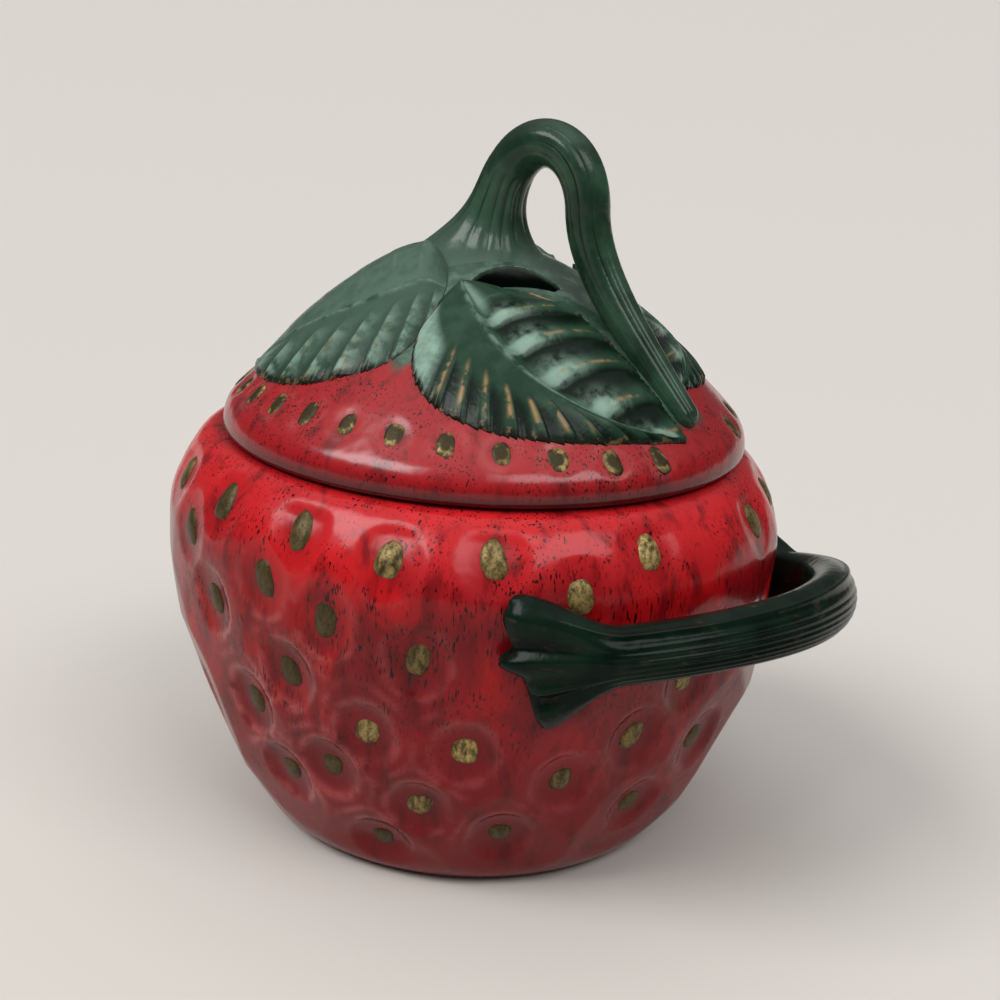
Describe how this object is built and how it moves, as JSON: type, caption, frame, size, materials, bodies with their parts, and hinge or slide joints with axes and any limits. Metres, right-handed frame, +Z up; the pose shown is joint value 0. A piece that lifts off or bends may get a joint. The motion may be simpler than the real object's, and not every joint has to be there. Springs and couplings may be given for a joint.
{
  "type": "cookie jar",
  "caption": "Strawberry-shaped glazed ceramic cookie jar with one ribbed side handle and a lift-off domed lid with leaves and a looped stem handle.",
  "frame": {"origin": "centre of the flat base, on the table", "axes": "+Z up, +X out through the side handle and along the stem's trailing leg"},
  "size_m": [0.2248, 0.1968, 0.2283],
  "materials": {
    "red_glaze": "gloss, mottled red with dark specks",
    "seed_bronze": "satin bronze gold, brushed on",
    "leaf_green": "satin dark green with worn crests",
    "stem_green": "gloss dark green"
  },
  "bodies": {
    "pot": {"pot": "red_glaze", "pot_seeds": "seed_bronze", "side_handle": "stem_green"},
    "lid": {"lid": "red_glaze", "lid_seeds": "seed_bronze", "leaf_front_right": "leaf_green", "leaf_front_left": "leaf_green", "leaf_back_right": "leaf_green", "leaf_back_left": "leaf_green", "stem_handle": "stem_green"}
  },
  "joints": [
    {"name": "lid_lift", "type": "slide", "parent": "pot", "child": "lid", "axis": [0, 0, 1], "range_m": [0, 0.17]}
  ]
}
